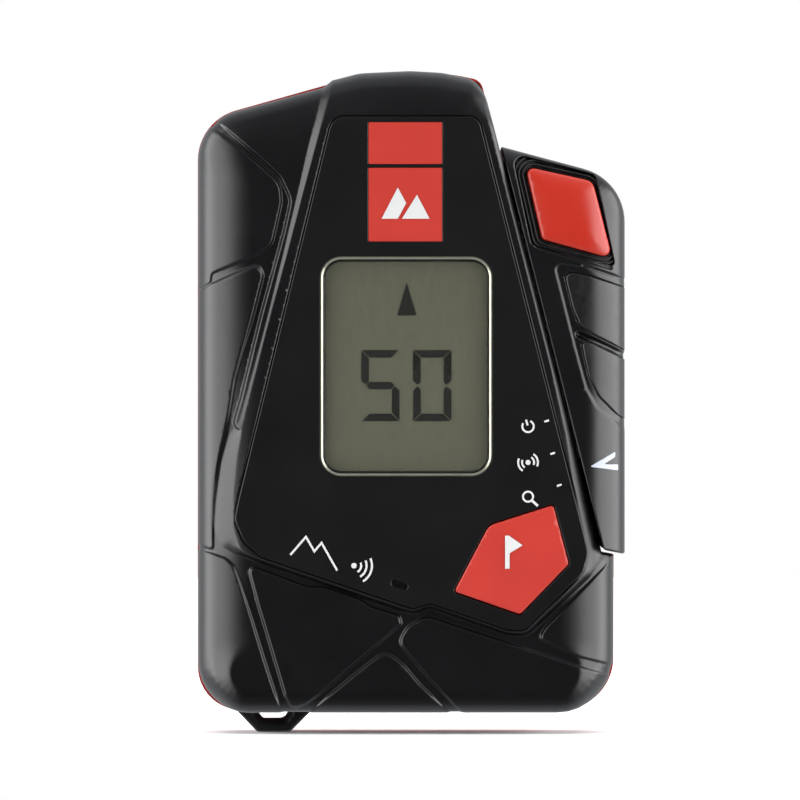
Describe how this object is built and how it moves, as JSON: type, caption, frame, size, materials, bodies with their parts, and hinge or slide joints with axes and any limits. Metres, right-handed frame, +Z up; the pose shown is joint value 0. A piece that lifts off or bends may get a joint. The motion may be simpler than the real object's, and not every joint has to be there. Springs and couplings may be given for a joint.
{
  "type": "avalanche transceiver",
  "caption": "Handheld avalanche transceiver with a segment display, sliding mode switch with lock button, marking key, hinged battery door and lanyard eye.",
  "frame": {"origin": "middle of the bounding box at its lowest level, the foot of the lanyard loop, with the device upright", "axes": "+X right seen from the front, +Y towards the back (the front face looks along -Y), +Z up"},
  "size_m": [0.0718, 0.027, 0.1109],
  "materials": {
    "case_black": "fine-textured satin moulding",
    "case_red": "satin red moulding",
    "seal_rubber": "moulded seal",
    "brass": "knurled insert",
    "screw_steel": "dark zinc-plated",
    "facia_black": "matt hard-coated facia",
    "plate_red": "satin red label plate",
    "print_white": "white print",
    "led_smoke": "smoked light window",
    "bezel_pale": "pale moulded rim",
    "lens_clear": "clear hard-coated window",
    "segment_black": "dark display segments",
    "display_olive": "olive grey display field",
    "frame_plastic": "inner frame moulding",
    "zebra_rubber": "layered conducting rubber",
    "board_green": "solder-masked board",
    "led_body": "diffused lamp body",
    "switch_metal": "small switch",
    "tin_can": "tinned screening can",
    "chip_black": "chip package",
    "buzzer_black": "buzzer case",
    "ferrite": "sintered ferrite",
    "copper_wire": "enamelled copper winding",
    "battery_wrap": "plain battery wrap",
    "spring_steel": "nickel-plated spring",
    "slider_black": "fine-textured satin moulding",
    "grip_rubber": "soft ribbed grip",
    "pointer_pale": "pale inlay",
    "button_red": "glossy red button",
    "key_red": "satin red key",
    "runner_plastic": "low-friction runner",
    "magnet": "nickel-plated magnet",
    "door_red": "satin red door",
    "lock_dark": "dark quarter-turn lock"
  },
  "bodies": {
    "casing": {"front_shell": "case_black", "back_shell": "case_red", "case_gasket": "seal_rubber", "screw_inserts": "brass", "case_screws": "screw_steel", "lanyard_loop": "frame_plastic", "front_panel": "facia_black", "label_plate_upper": "plate_red", "label_plate_lower": "plate_red", "plate_emblem": "print_white", "panel_marks": "print_white", "led_window": "led_smoke", "display_bezel": "bezel_pale", "display_lens": "lens_clear", "display_digits": "segment_black", "display_module": "display_olive", "display_holder": "frame_plastic", "zebra_connectors": "zebra_rubber", "main_board": "board_green", "status_led": "led_body", "key_switch": "switch_metal", "shield_can": "tin_can", "circuit_chips": "chip_black", "buzzer": "buzzer_black", "antenna_core_long": "ferrite", "antenna_coil_long": "copper_wire", "antenna_core_cross": "ferrite", "antenna_coil_cross": "copper_wire", "antenna_coil_flat": "copper_wire", "battery_tray": "frame_plastic", "battery": "battery_wrap", "battery_plate": "spring_steel", "battery_spring": "spring_steel", "door_hinge_pin": "spring_steel", "guide_rail": "runner_plastic", "detent_spring": "spring_steel", "sensor_board": "board_green", "hall_sensors": "chip_black"},
    "slider_body": {"mode_slider": "slider_black", "slider_grips": "grip_rubber", "mode_pointer": "pointer_pale", "button_bezel": "seal_rubber", "slider_runner": "runner_plastic", "slider_screws": "screw_steel", "slider_magnet": "magnet", "button_spring": "spring_steel"},
    "button_body": {"lock_button": "button_red", "lock_pawl": "frame_plastic"},
    "key_body": {"marking_key": "key_red", "key_flag": "print_white"},
    "door_body": {"battery_door": "door_red", "door_seal": "seal_rubber"},
    "lock_body": {"door_lock": "lock_dark"}
  },
  "joints": [
    {"name": "mode_slide", "type": "slide", "parent": "casing", "child": "slider_body", "axis": [0.2462, 0, -0.9692], "range_m": [-0.0053, 0.0053]},
    {"name": "lock_press", "type": "slide", "parent": "slider_body", "child": "button_body", "axis": [0, 1, 0], "range_m": [0, 0.0012], "stiffness_N_per_m": 1200, "springref_m": -0.0006, "deforming": ["button_spring"]},
    {"name": "key_press", "type": "slide", "parent": "casing", "child": "key_body", "axis": [0, 1, 0], "range_m": [0, 0.0004], "stiffness_N_per_m": 2500, "springref_m": -0.0002},
    {"name": "door_hinge", "type": "hinge", "parent": "casing", "child": "door_body", "pos_m": [-0.022, 0.012, 0.0294], "axis": [-1, 0, 0], "range_deg": [0, 90]},
    {"name": "lock_turn", "type": "hinge", "parent": "door_body", "child": "lock_body", "pos_m": [-0.022, 0.0135, 0.0932], "axis": [0, 1, 0], "range_deg": [0, 90]}
  ]
}
